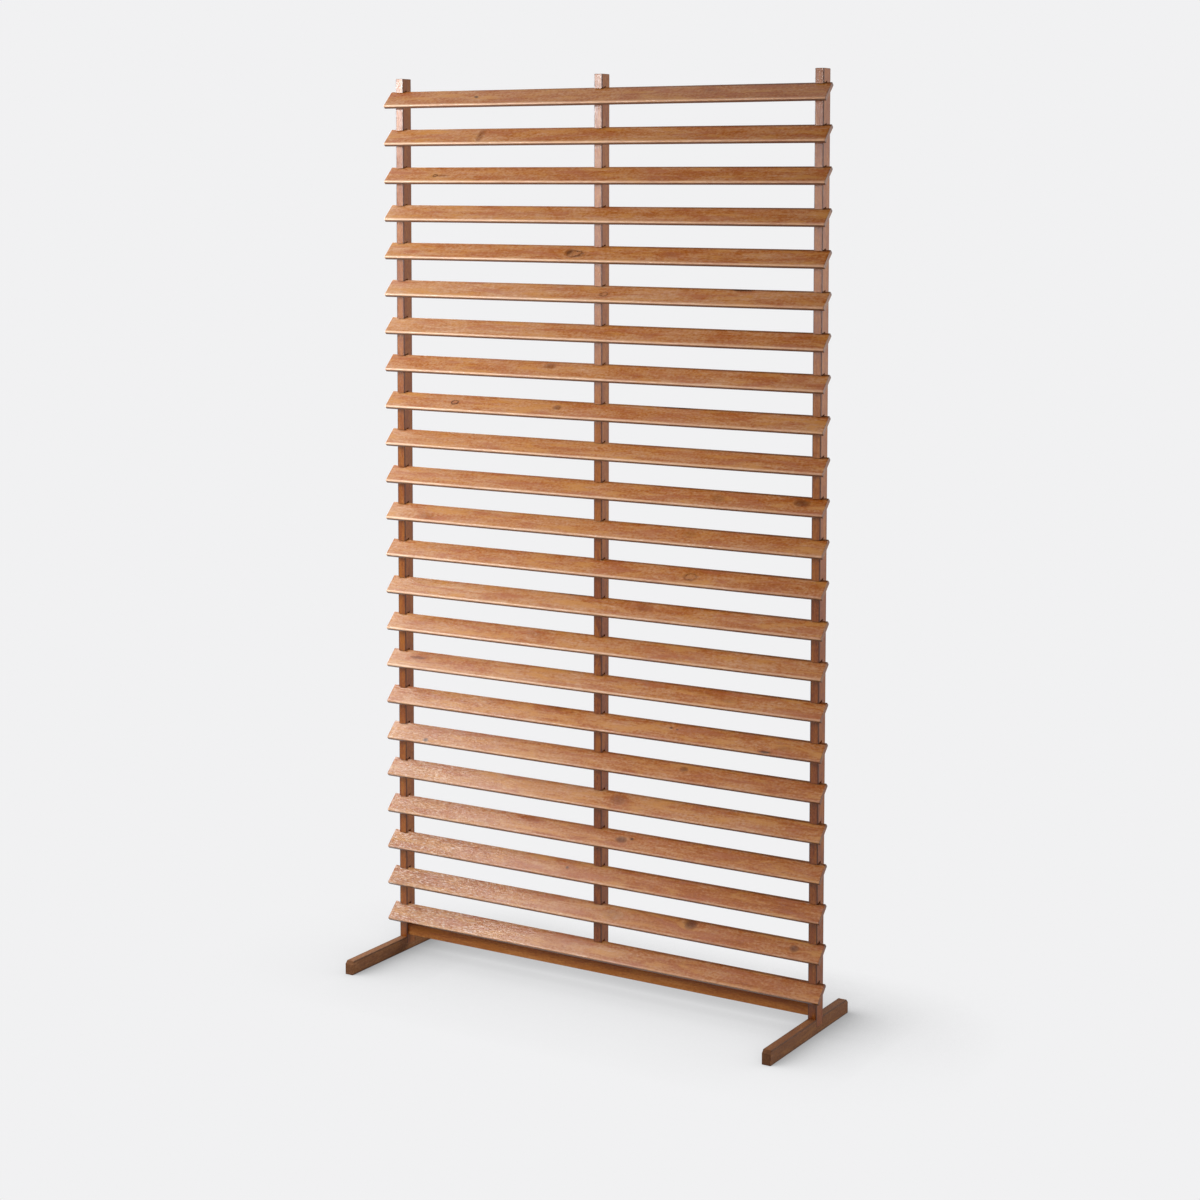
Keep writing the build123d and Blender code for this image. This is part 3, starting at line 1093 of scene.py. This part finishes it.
@dataclass(frozen=True)
class Lamp:
    """One flat soft lamp: its middle, what it faces, its width and height, and its power in watts."""

    name: str
    place: Triple
    target: Triple
    size: tuple[float, float]
    power: float


@dataclass(frozen=True)
class Shade:
    """One soft shade of the screen on the floor.

    Lean is the side that its light comes from, reach is how far away a piece may be and still cast it, and depth
    is how dark it gets, from 0 to 1.
    """

    lean: Triple
    reach: float
    depth: float


@dataclass
class Studio:
    """Pale floor and background, soft lamps from the front left and from behind, and the camera."""

    pale: Colour = (0.8796, 0.8796, 0.888)
    floor_half: float = 30.0
    floor_albedo: float = 0.75
    shades: tuple[Shade, ...] = (
        Shade((-0.35, -0.92, 0.12), 0.34, 0.98),
        Shade((0.10, 0.72, 0.68), 0.36, 0.30),
        Shade((-0.70, -0.62, 0.35), 0.15, 0.44),
    )
    shade_samples: int = 16
    sky_level: float = 0.02
    lamps: tuple[Lamp, ...] = (
        Lamp("left_softbox", (-2.30, -0.60, 2.00), (0.0, 0.0, 0.80), (0.7, 0.6), 20.8),
        Lamp("high_left_softbox", (-1.80, -0.75, 2.30), (0.0, 0.0, 0.80), (1.1, 0.6), 9.9),
        Lamp("front_left_spot", (-1.90, -1.60, 2.10), (0.0, 0.0, 0.80), (0.6, 0.6), 17.6),
        Lamp("front_left_softbox", (-1.46, -2.08, 1.49), (0.0, 0.0, 0.95), (1.0, 1.0), 18.6),
        Lamp("front_softbox", (-0.44, -2.51, 1.49), (0.0, 0.0, 0.95), (1.0, 1.0), 9.9),
        Lamp("eye_level_strip", (-1.83, -2.15, 1.97), (-0.57, -0.61, 1.87), (1.0, 0.45), 30.0),
        Lamp("right_rear_softbox", (2.22, 1.28, 1.40), (0.0, 0.0, 0.95), (1.0, 1.0), 37.4),
        Lamp("left_rear_softbox", (-1.95, 1.13, 2.25), (0.0, 0.0, 0.95), (1.0, 1.0), 14.2),
    )
    camera_place: Triple = (2.3741, -3.8781, 1.5896)
    camera_yaw: float = math.radians(31.261)
    camera_pitch: float = math.radians(4.336)
    camera_roll: float = math.radians(0.055)
    lens: float = 71.075
    sensor: float = 36.0
    shift: float = -0.1993

    def build(self) -> None:
        """Makes the floor, the lights and the camera."""
        self.sky()
        self.floor()
        for lamp in self.lamps:
            self.hang(lamp)
        self.camera()
        bpy.context.scene.view_settings.view_transform = "Standard"
        log.info("the studio is ready with %d lamps", len(self.lamps))

    @staticmethod
    def background_rays(bench: Bench) -> Signal:
        """Picks the rays that see the pale background: the camera's, and those that metal and glass mirror."""
        ray = bench.make("ShaderNodeLightPath", output="Is Camera Ray")
        return ray.larger(ray.output("Is Glossy Ray")).larger(ray.output("Is Transmission Ray"))

    def sky(self) -> None:
        """Lights the screen weakly from all sides, and shows the pale background."""
        bench = Bench(bpy.data.worlds.new("pale_studio"))
        lit = bench.make("ShaderNodeBackground", None, {"Color": (1.0, 1.0, 1.0, 1.0), "Strength": self.sky_level})
        seen = bench.make("ShaderNodeBackground", None, {"Color": (*self.pale, 1.0)})
        mixed = bench.make("ShaderNodeMixShader", None, {0: self.background_rays(bench), 1: lit, 2: seen})
        bench.make("ShaderNodeOutputWorld", None, {"Surface": mixed})
        bpy.context.scene.world = bench.owner

    def floor(self) -> bpy.types.Object:
        """Makes a flat floor as pale as the background, with the screen's soft shadow.

        Returns:
            The floor's object.
        """
        half = self.floor_half
        corners = [(-half, -half, 0.0), (half, -half, 0.0), (half, half, 0.0), (-half, half, 0.0)]
        mesh = bpy.data.meshes.new("studio_floor")
        mesh.from_pydata(corners, [], [(0, 1, 2, 3)])
        bench = Bench(bpy.data.materials.new("studio_floor"))
        kept = self.openness(bench, self.shades[0])
        for shade in self.shades[1:]:
            kept = kept * self.openness(bench, shade)
        colour = bench.blend(kept, (0.0, 0.0, 0.0), self.pale)
        shown = bench.make("ShaderNodeEmission", None, {"Color": colour})
        albedo = self.floor_albedo
        lit = bench.make("ShaderNodeBsdfDiffuse", None, {"Color": (albedo, albedo, albedo, 1.0)})
        surface = bench.make("ShaderNodeMixShader", None, {0: self.background_rays(bench), 1: lit, 2: shown})
        bench.make("ShaderNodeOutputMaterial", None, {"Surface": surface})
        mesh.materials.append(bench.owner)
        floor = bpy.data.objects.new("studio_floor", mesh)
        bpy.context.scene.collection.objects.link(floor)
        return floor

    def openness(self, bench: Bench, shade: Shade) -> Signal:
        """How bright the floor stays under one shade.

        Args:
            bench: The floor's bench.
            shade: The shade.

        Returns:
            The brightness that is kept, from 0 to 1.
        """
        side = Vector(shade.lean).normalized()
        normal = bench.make("ShaderNodeCombineXYZ", None, {0: side.x, 1: side.y, 2: side.z})
        inputs = {"Distance": shade.reach, "Normal": normal}
        free = bench.make("ShaderNodeAmbientOcclusion", {"samples": self.shade_samples}, inputs, "AO")
        return 1.0 - (1.0 - free) * shade.depth

    @staticmethod
    def hang(lamp: Lamp) -> None:
        """Hangs one lamp, which the camera doesn't see.

        Args:
            lamp: The lamp's description.
        """
        light = bpy.data.objects.new(lamp.name, bpy.data.lights.new(lamp.name, "AREA"))
        light.data.shape = "RECTANGLE"
        light.data.size, light.data.size_y = lamp.size
        light.data.energy = lamp.power
        light.visible_camera = False
        aim = Vector(lamp.target) - Vector(lamp.place)
        light.matrix_world = Matrix.Translation(lamp.place) @ aim.to_track_quat("-Z", "Y").to_matrix().to_4x4()
        bpy.context.scene.collection.objects.link(light)

    def camera(self) -> None:
        """Sets the camera at the photograph's place."""
        data = bpy.data.cameras.new("camera")
        data.sensor_fit = "HORIZONTAL"
        data.sensor_width = self.sensor
        data.lens = self.lens
        data.shift_y = self.shift
        camera = bpy.data.objects.new("camera", data)
        turn = Matrix.Rotation(self.camera_yaw, 4, "Z")
        tip = Matrix.Rotation(math.pi / 2 - self.camera_pitch, 4, "X")
        roll = Matrix.Rotation(self.camera_roll, 4, "Z")
        camera.matrix_world = Matrix.Translation(self.camera_place) @ turn @ tip @ roll
        bpy.context.scene.collection.objects.link(camera)
        bpy.context.scene.camera = camera


def main() -> None:
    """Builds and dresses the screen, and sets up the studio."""
    logging.basicConfig(level=logging.INFO, format="%(name)s: %(message)s")
    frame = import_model()
    SlatSet().build()
    Carcass().build(frame["nodes"])
    Fixings().build(frame["nodes"])
    Studio().build()


if __name__ == "__main__":
    main()
